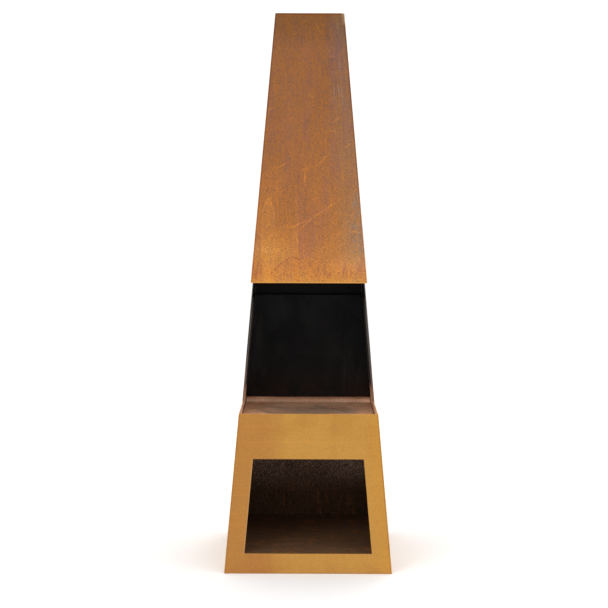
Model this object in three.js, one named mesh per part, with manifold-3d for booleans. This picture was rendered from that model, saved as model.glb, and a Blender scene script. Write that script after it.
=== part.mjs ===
// A garden fireplace in weathering steel: a tapered square tower with a fire opening and a log store.
// Millimetres, +Z up, front towards -Y, origin at the middle of the base on the ground.
import * as THREE from 'three';
import Module from 'manifold-3d';
import { mergeVertices } from 'three/addons/utils/BufferGeometryUtils.js';

// Overall size
const HEIGHT = 1500;
const BASE_WIDTH = 450;
const TOP_WIDTH = 186;
const SHEET = 3; // thickness of the body panels
const GAP = 0.3; // clearance where two pieces are welded or rest on each other

// Fire opening
const RIM_HEIGHT = 426; // top edge of the base's front panel
const HOOD_BOTTOM = 776; // lower edge of the hood's front panel
const NOTCH_BACK = 0; // how far back, in y, the side walls are cut away
const NOTCH_RADIUS = 12;
const HOOD_LIP = 12; // depth of the fold under the hood's front panel

// Log store
const STORE_MARGIN = 49.5; // sheet left on each side of the opening
const STORE_BOTTOM = 53;
const STORE_TOP = 305;

// Loose hearth plate
const HEARTH_TOP = 402;
const HEARTH_THICKNESS = 5;
const HEARTH_HALF = 183.4; // half its width, and its reach towards the front
const HEARTH_BACK = 170.5; // its reach towards the back plate
const HEARTH_CORNER = 4;
const LIFT_HOLE_RADIUS = 12;
const LIFT_HOLE_X = 60;
const LIFT_HOLE_Y = -115;

// Heat shield and side liners
const LINING_TOP = 725;
const BACK_PLATE_BOTTOM = 420;
const LINER_BOTTOM = 470;
const LINER_THICKNESS = 2;
const LINER_SETBACK = 1; // from the cut edge of the side wall
const STANDOFF = 9; // air gap behind the back plate

// Fixings of the back plate
const STUD_RADIUS = 4;
const STUD_END = 12; // how far the stud stands out behind the back panel
const HOLE_RADIUS = 4.4;
const SPACER_RADIUS = 8;
const WASHER_RADIUS = 8.5;
const WASHER_THICKNESS = 1.6;
const NUT_ACROSS_FLATS = 13;
const NUT_HEIGHT = 6.5;
const FIXING_INSET = 45; // from the edge of the back plate
const FIXING_HEIGHTS = [470, 680];

// How finely curves are cut into straight steps
const ROUND_SEGMENTS = 20; // round a stud, a ring or a nut's bore
const SHEET_SEGMENTS = 8; // along each curve cut in a panel
const HEARTH_SEGMENTS = 10; // along each curve cut in the hearth plate
const MERGE_DISTANCE = 1e-4; // points closer than this are one corner

// Ledges and gussets
const LEDGE_LEG = 30;
const GUSSET_LEG = 80;

// The tower's shape
const TAPER = (BASE_WIDTH - TOP_WIDTH) / 2 / HEIGHT;
const LEAN = Math.atan(TAPER);
const BACK_PLATE_DEPTH = (SHEET + STANDOFF + SHEET) / Math.cos(LEAN); // level reach of shield and air gap
const BOTTOM_EDGE = SHEET * Math.sin(LEAN); // lifts a leaning sheet's edge so that it just touches the ground

const wasm = await Module();
wasm.setup();

const weatheredSteel = () => new THREE.MeshStandardMaterial({ color: 0xb5773f, roughness: 0.85, metalness: 0.2 });
const blackSteel = () => new THREE.MeshStandardMaterial({ color: 0x1c1b1a, roughness: 0.55, metalness: 0.4 });
const firedSteel = () => new THREE.MeshStandardMaterial({ color: 0x8f6248, roughness: 0.9, metalness: 0.15 });
const zincSteel = () => new THREE.MeshStandardMaterial({ color: 0x9c9b96, roughness: 0.45, metalness: 0.8 });

// Half the tower's outer width at a height, and half the room between its walls
function outerHalf(z) {
  return BASE_WIDTH / 2 - TAPER * z;
}

function innerHalf(z) {
  return outerHalf(z) - SHEET / Math.cos(LEAN) - GAP;
}

// Distance up a wall's face to a height
function upWall(z) {
  return z / Math.cos(LEAN);
}

// One side of the tower, turned about Z. The front is turn 0.
function side(turn) {
  const group = new THREE.Group();
  group.rotation.z = turn;
  return group;
}

// The leaning plane of a wall inside its side: X across, Y up the face, Z outwards.
function face(parent) {
  const plane = new THREE.Group();
  plane.position.y = -BASE_WIDTH / 2;
  plane.rotation.x = Math.PI / 2 - LEAN;
  parent.add(plane);
  return plane;
}

function add(parent, name, geometry, material) {
  const mesh = new THREE.Mesh(geometry, material);
  mesh.name = name;
  parent.add(mesh);
  return mesh;
}

// A closed outline on a wall's face, from points given as [across, height]
function outline(points) {
  const corners = points.map(([across, z]) => new THREE.Vector2(across, upWall(z)));
  return new THREE.Shape(corners);
}

// A sheet cut to a shape, lying below its face: from -front to -front - thickness
function sheet(shape, thickness, front = 0) {
  const geometry = new THREE.ExtrudeGeometry(shape, {
    depth: thickness,
    bevelEnabled: false,
    curveSegments: SHEET_SEGMENTS,
  });
  geometry.translate(0, 0, -front - thickness);
  return geometry;
}

// A tapered outline between two heights, as wide as the room between the side walls
function betweenWalls(low, high) {
  return outline([
    [-innerHalf(low), low],
    [innerHalf(low), low],
    [innerHalf(high), high],
    [-innerHalf(high), high],
  ]);
}

function toSolid(geometry) {
  const bare = geometry.clone();
  bare.deleteAttribute('normal');
  bare.deleteAttribute('uv');
  const merged = mergeVertices(bare, MERGE_DISTANCE);
  return new wasm.Manifold(new wasm.Mesh({
    numProp: 3,
    vertProperties: new Float32Array(merged.attributes.position.array),
    triVerts: new Uint32Array(merged.index.array),
  }));
}

function fromSolid(solid) {
  const mesh = solid.getMesh();
  const geometry = new THREE.BufferGeometry();
  geometry.setAttribute('position', new THREE.BufferAttribute(mesh.vertProperties, 3));
  geometry.setIndex(new THREE.BufferAttribute(mesh.triVerts, 1));
  geometry.computeVertexNormals();
  return geometry;
}

// A side wall. Its notch opens towards the front, which is -X on the right side and +X on the left.
function sidePanel(toFront) {
  const shape = new THREE.Shape();
  const along = (y) => -toFront * y;
  const point = (y, z) => [along(y), upWall(z)];
  shape.moveTo(...point(-outerHalf(BOTTOM_EDGE), BOTTOM_EDGE));
  shape.lineTo(...point(outerHalf(BOTTOM_EDGE), BOTTOM_EDGE));
  shape.lineTo(...point(outerHalf(HEIGHT), HEIGHT));
  shape.lineTo(...point(-outerHalf(HEIGHT), HEIGHT));
  shape.lineTo(...point(-outerHalf(HOOD_BOTTOM), HOOD_BOTTOM));
  shape.lineTo(...point(NOTCH_BACK, HOOD_BOTTOM));
  shape.lineTo(...point(NOTCH_BACK, RIM_HEIGHT + NOTCH_RADIUS));
  shape.quadraticCurveTo(...point(NOTCH_BACK, RIM_HEIGHT), ...point(NOTCH_BACK - NOTCH_RADIUS, RIM_HEIGHT));
  shape.lineTo(...point(-outerHalf(RIM_HEIGHT), RIM_HEIGHT));
  return sheet(shape, SHEET);
}

function hoodFrontPanel() {
  const panel = toSolid(sheet(betweenWalls(HOOD_BOTTOM, HEIGHT), SHEET));
  const width = 2 * innerHalf(HOOD_BOTTOM + SHEET);
  const lip = new THREE.BoxGeometry(width, SHEET, HOOD_LIP);
  lip.translate(0, upWall(HOOD_BOTTOM) + SHEET / 2, -HOOD_LIP / 2);
  return fromSolid(panel.add(toSolid(lip)));
}

function baseFrontPanel() {
  const shape = betweenWalls(BOTTOM_EDGE, RIM_HEIGHT);
  const low = outerHalf(STORE_BOTTOM) - STORE_MARGIN;
  const high = outerHalf(STORE_TOP) - STORE_MARGIN;
  shape.holes.push(outline([
    [-low, STORE_BOTTOM],
    [-high, STORE_TOP],
    [high, STORE_TOP],
    [low, STORE_BOTTOM],
  ]));
  return sheet(shape, SHEET);
}

// Centres of the back plate's fixings on the back wall's face
function fixingCentres() {
  return FIXING_HEIGHTS.flatMap((z) => {
    const across = innerHalf(z) - FIXING_INSET;
    return [[-across, upWall(z)], [across, upWall(z)]];
  });
}

function backPanel() {
  const shape = betweenWalls(BOTTOM_EDGE, HEIGHT);
  for (const [x, y] of fixingCentres()) {
    shape.holes.push(new THREE.Path().absarc(x, y, HOLE_RADIUS, 0, 2 * Math.PI, true));
  }
  return sheet(shape, SHEET);
}

// A side liner, from the cut edge of its wall to the back plate
function liner(toFront) {
  const near = -toFront * (NOTCH_BACK + LINER_SETBACK);
  const far = (z) => -toFront * (outerHalf(z) - BACK_PLATE_DEPTH - 2 * GAP);
  const shape = outline([
    [near, LINER_BOTTOM],
    [far(LINER_BOTTOM), LINER_BOTTOM],
    [far(LINING_TOP), LINING_TOP],
    [near, LINING_TOP],
  ]);
  return sheet(shape, LINER_THICKNESS, SHEET + GAP);
}

// An angle along a wall: one leg level, the other hanging down the leaning wall
function ledge(top, halfLength) {
  const wall = (z) => -innerHalf(z);
  const profile = new THREE.Shape([
    new THREE.Vector2(wall(top), top),
    new THREE.Vector2(wall(top - LEDGE_LEG), top - LEDGE_LEG),
    new THREE.Vector2(wall(top - LEDGE_LEG) + SHEET, top - LEDGE_LEG),
    new THREE.Vector2(wall(top - SHEET) + SHEET, top - SHEET),
    new THREE.Vector2(wall(top) + LEDGE_LEG, top - SHEET),
    new THREE.Vector2(wall(top) + LEDGE_LEG, top),
  ]);
  const geometry = new THREE.ExtrudeGeometry(profile, { depth: 2 * halfLength, bevelEnabled: false });
  geometry.translate(0, 0, -halfLength);
  geometry.rotateX(Math.PI / 2);
  geometry.rotateZ(Math.PI / 2);
  return geometry;
}

// Side ledges run the whole depth, and the front and rear ones fit between them.
function addLedges(prefix, top) {
  const sideLength = innerHalf(top);
  const crossLength = sideLength - LEDGE_LEG - GAP;
  for (const [place, turn] of Object.entries(TURNS)) {
    const crosswise = place === 'front' || place === 'rear';
    const halfLength = crosswise ? crossLength : sideLength;
    add(sides[place], `${prefix}_${place}`, ledge(top, halfLength), weatheredSteel());
  }
}

function logStoreFloor() {
  const half = innerHalf(STORE_BOTTOM);
  const geometry = new THREE.BoxGeometry(2 * half, 2 * half, SHEET);
  geometry.translate(0, 0, STORE_BOTTOM - SHEET / 2);
  return geometry;
}

function hearthPlate() {
  const shape = new THREE.Shape();
  const r = HEARTH_CORNER;
  const corners = [
    [HEARTH_HALF - r, -HEARTH_HALF + r, -Math.PI / 2],
    [HEARTH_HALF - r, HEARTH_BACK - r, 0],
    [-HEARTH_HALF + r, HEARTH_BACK - r, Math.PI / 2],
    [-HEARTH_HALF + r, -HEARTH_HALF + r, Math.PI],
  ];
  for (const [x, y, start] of corners) {
    shape.absarc(x, y, r, start, start + Math.PI / 2, false);
  }
  for (const x of [-LIFT_HOLE_X, LIFT_HOLE_X]) {
    shape.holes.push(new THREE.Path().absarc(x, LIFT_HOLE_Y, LIFT_HOLE_RADIUS, 0, 2 * Math.PI, true));
  }
  const geometry = new THREE.ExtrudeGeometry(shape, {
    depth: HEARTH_THICKNESS,
    bevelEnabled: false,
    curveSegments: HEARTH_SEGMENTS,
  });
  geometry.translate(0, 0, HEARTH_TOP - HEARTH_THICKNESS);
  return geometry;
}

// A flat triangle in the base's front left corner
function gusset() {
  const corner = -innerHalf(SHEET);
  const shape = new THREE.Shape([
    new THREE.Vector2(corner, corner),
    new THREE.Vector2(corner + GUSSET_LEG, corner),
    new THREE.Vector2(corner, corner + GUSSET_LEG),
  ]);
  return new THREE.ExtrudeGeometry(shape, { depth: SHEET, bevelEnabled: false });
}

// A ring about the face's normal, between two distances from the back panel's outer face
function ring(innerRadius, outerRadius, from, to) {
  const profile = [
    new THREE.Vector2(innerRadius, from),
    new THREE.Vector2(outerRadius, from),
    new THREE.Vector2(outerRadius, to),
    new THREE.Vector2(innerRadius, to),
    new THREE.Vector2(innerRadius, from),
  ];
  const geometry = new THREE.LatheGeometry(profile, ROUND_SEGMENTS);
  geometry.rotateX(Math.PI / 2);
  return geometry;
}

function stud() {
  const start = -(SHEET + STANDOFF) + GAP;
  const geometry = new THREE.CylinderGeometry(STUD_RADIUS, STUD_RADIUS, STUD_END - start, ROUND_SEGMENTS);
  geometry.rotateX(Math.PI / 2);
  geometry.translate(0, 0, (STUD_END + start) / 2);
  return geometry;
}

function nut(from) {
  const cornerRadius = NUT_ACROSS_FLATS / 2 / Math.cos(Math.PI / 6);
  const corners = [0, 1, 2, 3, 4, 5].map((corner) => {
    const angle = corner * Math.PI / 3;
    return new THREE.Vector2(cornerRadius * Math.cos(angle), cornerRadius * Math.sin(angle));
  });
  const hexagon = new THREE.Shape(corners);
  hexagon.holes.push(new THREE.Path().absarc(0, 0, STUD_RADIUS + GAP, 0, 2 * Math.PI, true));
  const geometry = new THREE.ExtrudeGeometry(hexagon, {
    depth: NUT_HEIGHT,
    bevelEnabled: false,
    curveSegments: ROUND_SEGMENTS,
  });
  geometry.translate(0, 0, from);
  return geometry;
}

// One fixing: a stud welded to the back plate, its spacer, and a washer and nut behind the tower
function addFixing(number, x, y) {
  const washerStart = GAP;
  const nutStart = washerStart + WASHER_THICKNESS + GAP;
  const pieces = {
    stud: stud(),
    spacer: ring(HOLE_RADIUS, SPACER_RADIUS, -(SHEET + STANDOFF) + GAP, -SHEET - GAP),
    washer: ring(HOLE_RADIUS, WASHER_RADIUS, washerStart, washerStart + WASHER_THICKNESS),
    nut: nut(nutStart),
  };
  for (const [kind, geometry] of Object.entries(pieces)) {
    const mesh = add(faces.rear, `back_plate_${kind}_${number}`, geometry, zincSteel());
    mesh.position.set(x, y, 0);
  }
}

const TURNS = { front: 0, right: Math.PI / 2, rear: Math.PI, left: -Math.PI / 2 };
const chiminea = new THREE.Group();
const sides = {};
const faces = {};
for (const [place, turn] of Object.entries(TURNS)) {
  sides[place] = side(turn);
  faces[place] = face(sides[place]);
  chiminea.add(sides[place]);
}

// Body panels
add(faces.left, 'left_side_panel', sidePanel(1), weatheredSteel());
add(faces.right, 'right_side_panel', sidePanel(-1), weatheredSteel());
add(faces.rear, 'back_panel', backPanel(), weatheredSteel());
add(faces.front, 'hood_front_panel', hoodFrontPanel(), weatheredSteel());
add(faces.front, 'base_front_panel', baseFrontPanel(), weatheredSteel());

// Base: corner gussets, and the floor of the log store on its ledges
const GUSSET_PLACES = { front: 'front_left', right: 'front_right', rear: 'rear_right', left: 'rear_left' };
for (const [place, corner] of Object.entries(GUSSET_PLACES)) {
  add(sides[place], `base_gusset_${corner}`, gusset(), weatheredSteel());
}
addLedges('log_ledge', STORE_BOTTOM - SHEET - GAP);
add(chiminea, 'log_store_floor', logStoreFloor(), weatheredSteel());

// Fire chamber: the loose hearth on its ledges, the heat shield and the side liners
addLedges('hearth_ledge', HEARTH_TOP - HEARTH_THICKNESS - GAP);
add(chiminea, 'hearth_plate', hearthPlate(), firedSteel());
const shield = sheet(betweenWalls(BACK_PLATE_BOTTOM, LINING_TOP), SHEET, SHEET + STANDOFF);
add(faces.rear, 'fire_back_plate', shield, blackSteel());
add(faces.left, 'fire_liner_left', liner(1), blackSteel());
add(faces.right, 'fire_liner_right', liner(-1), blackSteel());
fixingCentres().forEach(([x, y], index) => addFixing(index + 1, x, y));

export default chiminea;
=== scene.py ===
"""Looks of a weathering-steel garden fireplace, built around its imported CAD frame.

Metres, +Z up, front towards -Y.
"""

import math
import random

import bpy
from mathutils import Matrix, Vector


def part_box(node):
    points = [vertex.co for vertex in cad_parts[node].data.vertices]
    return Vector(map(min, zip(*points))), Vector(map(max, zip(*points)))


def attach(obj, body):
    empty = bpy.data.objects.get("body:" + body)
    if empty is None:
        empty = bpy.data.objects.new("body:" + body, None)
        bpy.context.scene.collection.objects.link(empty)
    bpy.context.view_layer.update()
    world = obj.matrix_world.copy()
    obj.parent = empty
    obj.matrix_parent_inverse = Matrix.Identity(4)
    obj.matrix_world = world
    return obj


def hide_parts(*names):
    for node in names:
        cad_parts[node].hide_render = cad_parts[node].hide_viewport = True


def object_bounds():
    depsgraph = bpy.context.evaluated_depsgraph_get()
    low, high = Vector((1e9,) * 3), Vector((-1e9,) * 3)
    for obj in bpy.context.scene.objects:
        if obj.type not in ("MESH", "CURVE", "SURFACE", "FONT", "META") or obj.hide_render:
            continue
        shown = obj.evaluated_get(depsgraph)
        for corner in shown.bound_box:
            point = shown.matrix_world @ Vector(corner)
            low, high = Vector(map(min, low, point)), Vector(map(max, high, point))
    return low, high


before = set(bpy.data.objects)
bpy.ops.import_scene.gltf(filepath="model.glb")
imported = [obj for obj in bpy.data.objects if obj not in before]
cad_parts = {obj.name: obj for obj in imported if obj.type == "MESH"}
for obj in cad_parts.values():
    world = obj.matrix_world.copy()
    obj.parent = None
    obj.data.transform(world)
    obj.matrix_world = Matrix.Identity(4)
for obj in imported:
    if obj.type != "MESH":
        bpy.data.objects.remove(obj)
cad_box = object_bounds()

# ---------------------------------------------------------------- sizes, most from the frame
SHEET = 0.003
TOWER_HEIGHT = cad_box[1][2]
BASE_HALF = cad_box[1][0]
SIDE_POINTS = [vertex.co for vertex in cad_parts["right_side_panel"].data.vertices]
TOP_HALF = max(point.y for point in SIDE_POINTS if point.z > TOWER_HEIGHT - 0.002)
TAPER = (BASE_HALF - TOP_HALF) / TOWER_HEIGHT
LEAN = math.atan(TAPER)
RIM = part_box("base_front_panel")[1].z
HOOD_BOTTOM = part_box("hood_front_panel")[0].z
HEARTH_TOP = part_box("hearth_plate")[1].z
LINER_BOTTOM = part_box("fire_liner_left")[0].z
LINING_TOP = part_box("fire_back_plate")[1].z
STORE_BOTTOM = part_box("log_store_floor")[1].z
STORE_TOP = 0.305  # top edge of the log store's opening
STORE_MARGIN = 0.0495  # from the front's left edge to that opening
TURNS = {"front": 0.0, "right": math.pi / 2, "rear": math.pi, "left": -math.pi / 2}


def outer_half(z):
    """Half the tower's outer width at a height."""
    return BASE_HALF - TAPER * z


def inner_half(z):
    """Half the room between its walls at a height."""
    return outer_half(z) - SHEET / math.cos(LEAN)


# ---------------------------------------------------------------- camera, floor and light
CAMERA_PLACE = (-0.0108, -3.6, 0.9856)
CAMERA_TURN = math.radians(0.039)
CAMERA_DIP = math.radians(4.419)
CAMERA_ROLL = math.radians(0.185)
CAMERA_LENS = 76.03
FAR_CLIP = 200
WORLD_STRENGTH = 1.12  # bright enough to show the background and the far floor white
FLOOR_RADIUS = 60
FLOOR_DROP = 0.0005  # keeps the floor just under the object's bottom edges


def add_camera():
    data = bpy.data.cameras.new("camera")
    data.lens = CAMERA_LENS
    data.clip_end = FAR_CLIP
    camera = bpy.data.objects.new("camera", data)
    turn = Matrix.Rotation(CAMERA_TURN, 4, "Z")
    dip = Matrix.Rotation(math.pi / 2 - CAMERA_DIP, 4, "X")
    roll = Matrix.Rotation(CAMERA_ROLL, 4, "Z")
    camera.matrix_world = Matrix.Translation(CAMERA_PLACE) @ turn @ dip @ roll
    bpy.context.scene.collection.objects.link(camera)
    bpy.context.scene.camera = camera


def add_floor():
    """A plain pale disc, wide enough to run out of sight."""
    place = (0, 0, -FLOOR_DROP)
    bpy.ops.mesh.primitive_circle_add(vertices=96, radius=FLOOR_RADIUS, fill_type="NGON", location=place)
    floor = bpy.context.object
    floor.name = "studio_floor"
    paint = bpy.data.materials.new("studio_white")
    paint.use_nodes = True
    shader = paint.node_tree.nodes["Principled BSDF"]
    shader.inputs["Base Color"].default_value = (0.92, 0.92, 0.92, 1)
    shader.inputs["Roughness"].default_value = 0.9
    shader.inputs["Specular IOR Level"].default_value = 0.1
    floor.data.materials.append(paint)


def add_area_light(name, place, aim, size, power):
    data = bpy.data.lights.new(name, "AREA")
    data.shape = "RECTANGLE"
    data.size, data.size_y = size
    data.energy = power
    light = bpy.data.objects.new(name, data)
    light.location = place
    light.rotation_euler = (Vector(aim) - Vector(place)).to_track_quat("-Z", "Y").to_euler()
    bpy.context.scene.collection.objects.link(light)


def add_studio():
    world = bpy.data.worlds.new("studio")
    world.use_nodes = True
    world.node_tree.nodes["Background"].inputs["Color"].default_value = (1, 1, 1, 1)
    world.node_tree.nodes["Background"].inputs["Strength"].default_value = WORLD_STRENGTH
    bpy.context.scene.world = world
    bpy.context.scene.view_settings.view_transform = "Standard"
    middle = (0, 0, TOWER_HEIGHT / 2)
    add_area_light("key", (-2.6, -3.4, 3.2), middle, (1.8, 1.8), 45)
    add_area_light("fill", (3.2, -2.2, 1.8), middle, (1.6, 2.4), 18)
    add_area_light("rim", (1.6, 3.4, 2.6), middle, (2.0, 1.6), 30)
    add_floor()


# ---------------------------------------------------------------- material nodes
def srgb(red, green, blue):
    """A colour given from 0 to 255, as linear light with alpha."""
    shares = (red / 255, green / 255, blue / 255)
    linear = [c / 12.92 if c <= 0.04045 else ((c + 0.055) / 1.055) ** 2.4 for c in shares]
    return (*linear, 1)


# Where a Mix node keeps the sockets of its colours
MIX_SHARE, MIX_FIRST, MIX_SECOND, MIX_RESULT = 0, 6, 7, 2
UNBOUNDED = 1000  # makes an ellipse in X and Z as good as endless along Y


class Shader:
    """A procedural material, and short calls that add nodes to it."""

    def __init__(self, name):
        self.material = bpy.data.materials.new(name)
        self.material.use_nodes = True
        self.tree = self.material.node_tree
        self.principled = self.tree.nodes["Principled BSDF"]
        coordinates = self.tree.nodes.new("ShaderNodeTexCoord")
        self.place = coordinates.outputs["Object"]
        self.normal = coordinates.outputs["Normal"]

    def put(self, socket, value):
        if isinstance(value, bpy.types.NodeSocket):
            self.tree.links.new(value, socket)
        else:
            socket.default_value = value

    def math(self, operation, a, b=0.0, clamp=False):
        node = self.tree.nodes.new("ShaderNodeMath")
        node.operation = operation
        node.use_clamp = clamp
        self.put(node.inputs[0], a)
        self.put(node.inputs[1], b)
        return node.outputs[0]

    def split(self, vector):
        node = self.tree.nodes.new("ShaderNodeSeparateXYZ")
        self.put(node.inputs[0], vector)
        return node.outputs

    def vector(self, operation, a, b=(0, 0, 0)):
        node = self.tree.nodes.new("ShaderNodeVectorMath")
        node.operation = operation
        self.put(node.inputs[0], a)
        self.put(node.inputs[1], b)
        return node.outputs["Value" if operation in ("DOT_PRODUCT", "LENGTH") else "Vector"]

    def ellipse(self, place, centre, size, angle=0.0):
        """How far out a point is on an ellipse in the X-Z plane: 0 at its centre, 1 on its rim."""
        node = self.tree.nodes.new("ShaderNodeMapping")
        node.vector_type = "TEXTURE"
        self.put(node.inputs["Vector"], place)
        node.inputs["Location"].default_value = (centre[0], 0, centre[1])
        node.inputs["Rotation"].default_value = (0, -angle, 0)
        node.inputs["Scale"].default_value = (size[0], UNBOUNDED, size[1])
        return self.vector("LENGTH", node.outputs[0])

    def turned(self, angle, stretch):
        """The place on the object, turned about Y and then stretched along each axis."""
        node = self.tree.nodes.new("ShaderNodeVectorRotate")
        node.rotation_type = "Y_AXIS"
        self.put(node.inputs["Vector"], self.place)
        node.inputs["Angle"].default_value = angle
        return self.vector("MULTIPLY", node.outputs[0], stretch)

    def noise_colour(self, blobs):
        """Three unlike noises at once, as a vector."""
        node = self.tree.nodes.new("ShaderNodeTexNoise")
        node.inputs["Scale"].default_value = blobs
        node.inputs["Detail"].default_value = 2.0
        self.put(node.inputs["Vector"], self.place)
        return node.outputs["Color"]

    def noise(self, stretch, detail=3.0, rough=0.5, warp=0.0, offset=(0, 0, 0), place=None):
        """Noise from 0 to 1, with about this many blobs to the metre along X, Y and Z."""
        if not isinstance(stretch, tuple):
            stretch = (stretch, stretch, stretch)
        where = self.vector("MULTIPLY", place or self.place, stretch)
        where = self.vector("ADD", where, offset)
        node = self.tree.nodes.new("ShaderNodeTexNoise")
        node.inputs["Scale"].default_value = 1.0
        node.inputs["Detail"].default_value = detail
        node.inputs["Roughness"].default_value = rough
        node.inputs["Distortion"].default_value = warp
        self.put(node.inputs["Vector"], where)
        return node.outputs["Fac"]

    def band(self, value, low, high, bottom=0.0, top=1.0):
        """Goes smoothly from bottom to top as value goes from low to high."""
        node = self.tree.nodes.new("ShaderNodeMapRange")
        node.interpolation_type = "SMOOTHSTEP"
        for name, number in (("From Min", low), ("From Max", high), ("To Min", bottom), ("To Max", top)):
            self.put(node.inputs[name], number)
        self.put(node.inputs["Value"], value)
        return node.outputs["Result"]

    def ramp(self, value, stops):
        """Colours at positions from 0 to 1."""
        node = self.tree.nodes.new("ShaderNodeValToRGB")
        elements = node.color_ramp.elements
        while len(elements) < len(stops):
            elements.new(0.5)
        for element, (position, colour) in zip(elements, stops):
            element.position = position
            element.color = colour
        self.put(node.inputs["Fac"], value)
        return node.outputs["Color"]

    def mix(self, share, a, b, blend="MIX"):
        node = self.tree.nodes.new("ShaderNodeMix")
        node.data_type = "RGBA"
        node.blend_type = blend
        self.put(node.inputs[MIX_SHARE], share)
        self.put(node.inputs[MIX_FIRST], a)
        self.put(node.inputs[MIX_SECOND], b)
        return node.outputs[MIX_RESULT]

    def all_of(self, *masks):
        """The product of masks from 0 to 1."""
        product = masks[0]
        for mask in masks[1:]:
            product = self.math("MULTIPLY", product, mask)
        return product

    def paint(self, colour, other, *masks):
        """The other colour where every mask is 1."""
        return self.mix(self.all_of(*masks), colour, other)

    def tint(self, colour, factors, *masks):
        """The colour with each of its channels multiplied where every mask is 1."""
        return self.mix(self.all_of(*masks), colour, self.mix(1.0, colour, (*factors, 1), "MULTIPLY"))

    def bump(self, height, distance, strength=1.0, below=None):
        node = self.tree.nodes.new("ShaderNodeBump")
        node.inputs["Strength"].default_value = strength
        node.inputs["Distance"].default_value = distance
        self.put(node.inputs["Height"], height)
        if below is not None:
            self.put(node.inputs["Normal"], below)
        return node.outputs["Normal"]

    def finish(self, colour, roughness, normal, metallic=0.0, specular=0.5):
        self.put(self.principled.inputs["Base Color"], colour)
        self.put(self.principled.inputs["Roughness"], roughness)
        self.put(self.principled.inputs["Normal"], normal)
        self.principled.inputs["Metallic"].default_value = metallic
        self.principled.inputs["Specular IOR Level"].default_value = specular
        return self.material


# ---------------------------------------------------------------- materials
LIGHT_GAIN = 1.3  # how much brighter than its own colour the studio's light shows a wall


def seen(red, green, blue):
    """Paint that looks this colour, given from 0 to 255, under the studio's light."""
    return (*(c / LIGHT_GAIN for c in srgb(red, green, blue)[:3]), 1)


# Rust colours up the outside, as (height in metres, colour)
PATINA = (
    (0.0, seen(204, 149, 73)),
    (0.06, seen(199, 146, 71)),
    (RIM, seen(196, 144, 68)),
    (HOOD_BOTTOM, seen(210, 144, 70)),
    (0.79, seen(204, 136, 67)),
    (0.81, seen(198, 129, 67)),
    (0.865, seen(186, 122, 64)),
    (0.905, seen(180, 117, 63)),
    (0.96, seen(173, 113, 62)),
    (1.03, seen(168, 109, 61)),
    (1.11, seen(162, 106, 61)),
    (1.19, seen(158, 103, 61)),
    (1.27, seen(152, 100, 60)),
    (1.4, seen(147, 96, 58)),
    (1.455, seen(134, 88, 50)),
    (TOWER_HEIGHT, seen(130, 85, 46)),
)
# Colours of the walls' inner faces: brown in the log store, bare rust by the hearth, soot above
INSIDE = (
    (0.0, seen(74, 51, 33)),
    (0.12, seen(74, 51, 33)),
    (0.22, seen(110, 85, 68)),
    (HEARTH_TOP - 0.006, seen(110, 85, 68)),
    (HEARTH_TOP - 0.002, seen(236, 186, 150)),
    (LINER_BOTTOM - 0.01, seen(182, 130, 98)),
    (LINER_BOTTOM + 0.04, seen(70, 62, 56)),
    (LINING_TOP - 0.01, seen(23, 21, 20)),
    (HOOD_BOTTOM + 0.12, seen(17, 16, 15)),
    (1.3, seen(56, 44, 36)),
    (TOWER_HEIGHT, seen(112, 78, 54)),
)
# Fine marks on the hood's front, each from (x, z) to (x, z) in metres
SCRATCHES = (
    ((-0.052, 0.922), (0.008, 0.950)),
    ((-0.031, 0.915), (0.010, 0.951)),
    ((0.004, 0.947), (0.044, 0.974)),
    ((0.036, 0.967), (0.097, 1.011)),
    ((0.016, 1.086), (0.064, 1.132)),
    ((-0.090, 1.081), (-0.054, 1.103)),
    ((0.017, 1.476), (0.029, 1.444)),
    ((0.062, 1.206), (0.083, 1.222)),
    ((0.048, 1.187), (0.082, 1.178)),
    ((-0.120, 1.235), (-0.094, 1.247)),
    ((0.108, 0.915), (0.138, 0.912)),
    ((0.048, 1.384), (0.070, 1.384)),
    ((-0.026, 1.078), (-0.004, 1.083)),
    ((-0.012, 1.078), (-0.011, 1.034)),
    ((0.092, 1.135), (0.112, 1.151)),
)
PALE_RUNS = (
    ((0.078, 1.384), (0.083, 1.336)),
    ((0.078, 1.345), (0.093, 1.240)),
    ((0.072, 1.330), (0.083, 1.262)),
    ((0.064, 1.345), (0.069, 1.236)),
    ((0.072, 1.490), (0.082, 1.420)),
)
ORANGE_RUNS = (
    ((0.068, 1.378), (0.077, 1.296)),
    ((0.095, 1.362), (0.104, 1.250)),
    ((0.077, 1.290), (0.086, 1.190)),
    ((0.006, 1.320), (0.012, 1.180)),
)
TIDE_LINE = (
    ((-0.020, 0.838), (-0.050, 0.845)),
    ((-0.044, 0.846), (-0.076, 0.826)),
    ((-0.068, 0.834), (-0.098, 0.806)),
)
PURPLE_RUNS = (
    ((-0.034, 1.200), (-0.029, 1.020)),
    ((-0.029, 1.060), (-0.028, 0.845)),
)
LINE_HALF_WIDTH = 0.002
# Soft patches there, each an ellipse's centre and size along X and Z
TALL_PATCH = ((-0.109, 0.885), (0.021, 0.122))
SMEAR = ((-0.108, 0.864), (0.05, 0.013))
SHADE = ((-0.066, 0.965), (0.032, 0.075))
GLOW = ((-0.1, 0.855), (0.066, 0.06))
LOBE = ((-0.062, 0.885), (0.032, 0.05))
BLOTCH = ((-0.012, 0.872), (0.022, 0.05))
SCALE_SPOT = ((0.136, 0.93), (0.032, 0.118))


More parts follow.
